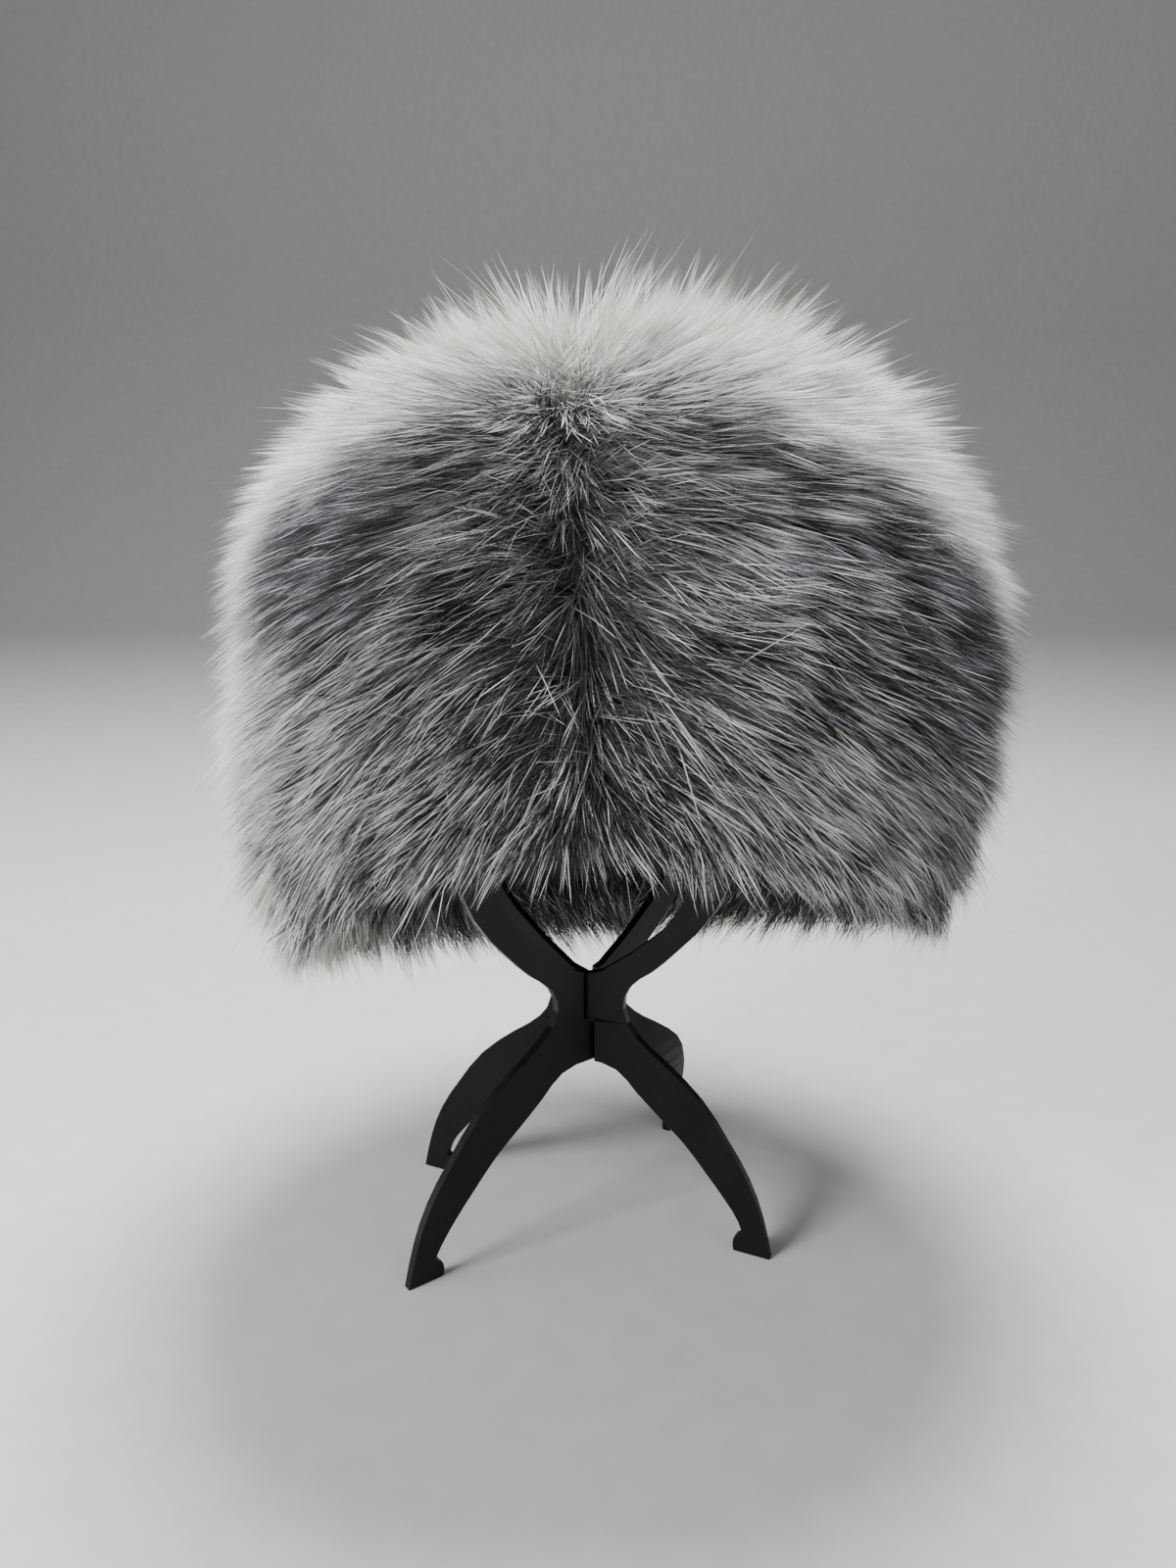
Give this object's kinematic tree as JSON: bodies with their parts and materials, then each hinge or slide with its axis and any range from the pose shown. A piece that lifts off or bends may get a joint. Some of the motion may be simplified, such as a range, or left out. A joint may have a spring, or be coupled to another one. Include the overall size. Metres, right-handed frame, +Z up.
{
  "type": "fur hat on folding stand",
  "caption": "Rounded hat of long silver fur with a pale crown, tilted back on a folding stand of two slotted X-shaped plates.",
  "frame": {"origin": "on the surface that the stand's feet rest on, under the middle of the whole object's box", "axes": "+Z up; the hat's front, where the fur parts, faces -Y; +X is to the right of someone facing its front"},
  "size_m": [0.3192, 0.3316, 0.4158],
  "materials": {
    "stand_plastic": "black moulded plastic with a satin sheen",
    "hat_skin": "dressed fox skin with the hair side out, plain and matt inside",
    "silver_fur": "dense charcoal underfur with long silver-banded guard hairs and dark tips",
    "pale_fur": "long white to cream guard hairs standing in pointed locks"
  },
  "bodies": {
    "root": {"front_skin": "hat_skin", "back_skin": "hat_skin", "crown_skin": "hat_skin", "front_pelt": "silver_fur", "back_pelt": "silver_fur", "crown_pelt": "pale_fur", "stand_plate_rising": "stand_plastic", "stand_plate_falling": "stand_plastic"}
  },
  "joints": []
}
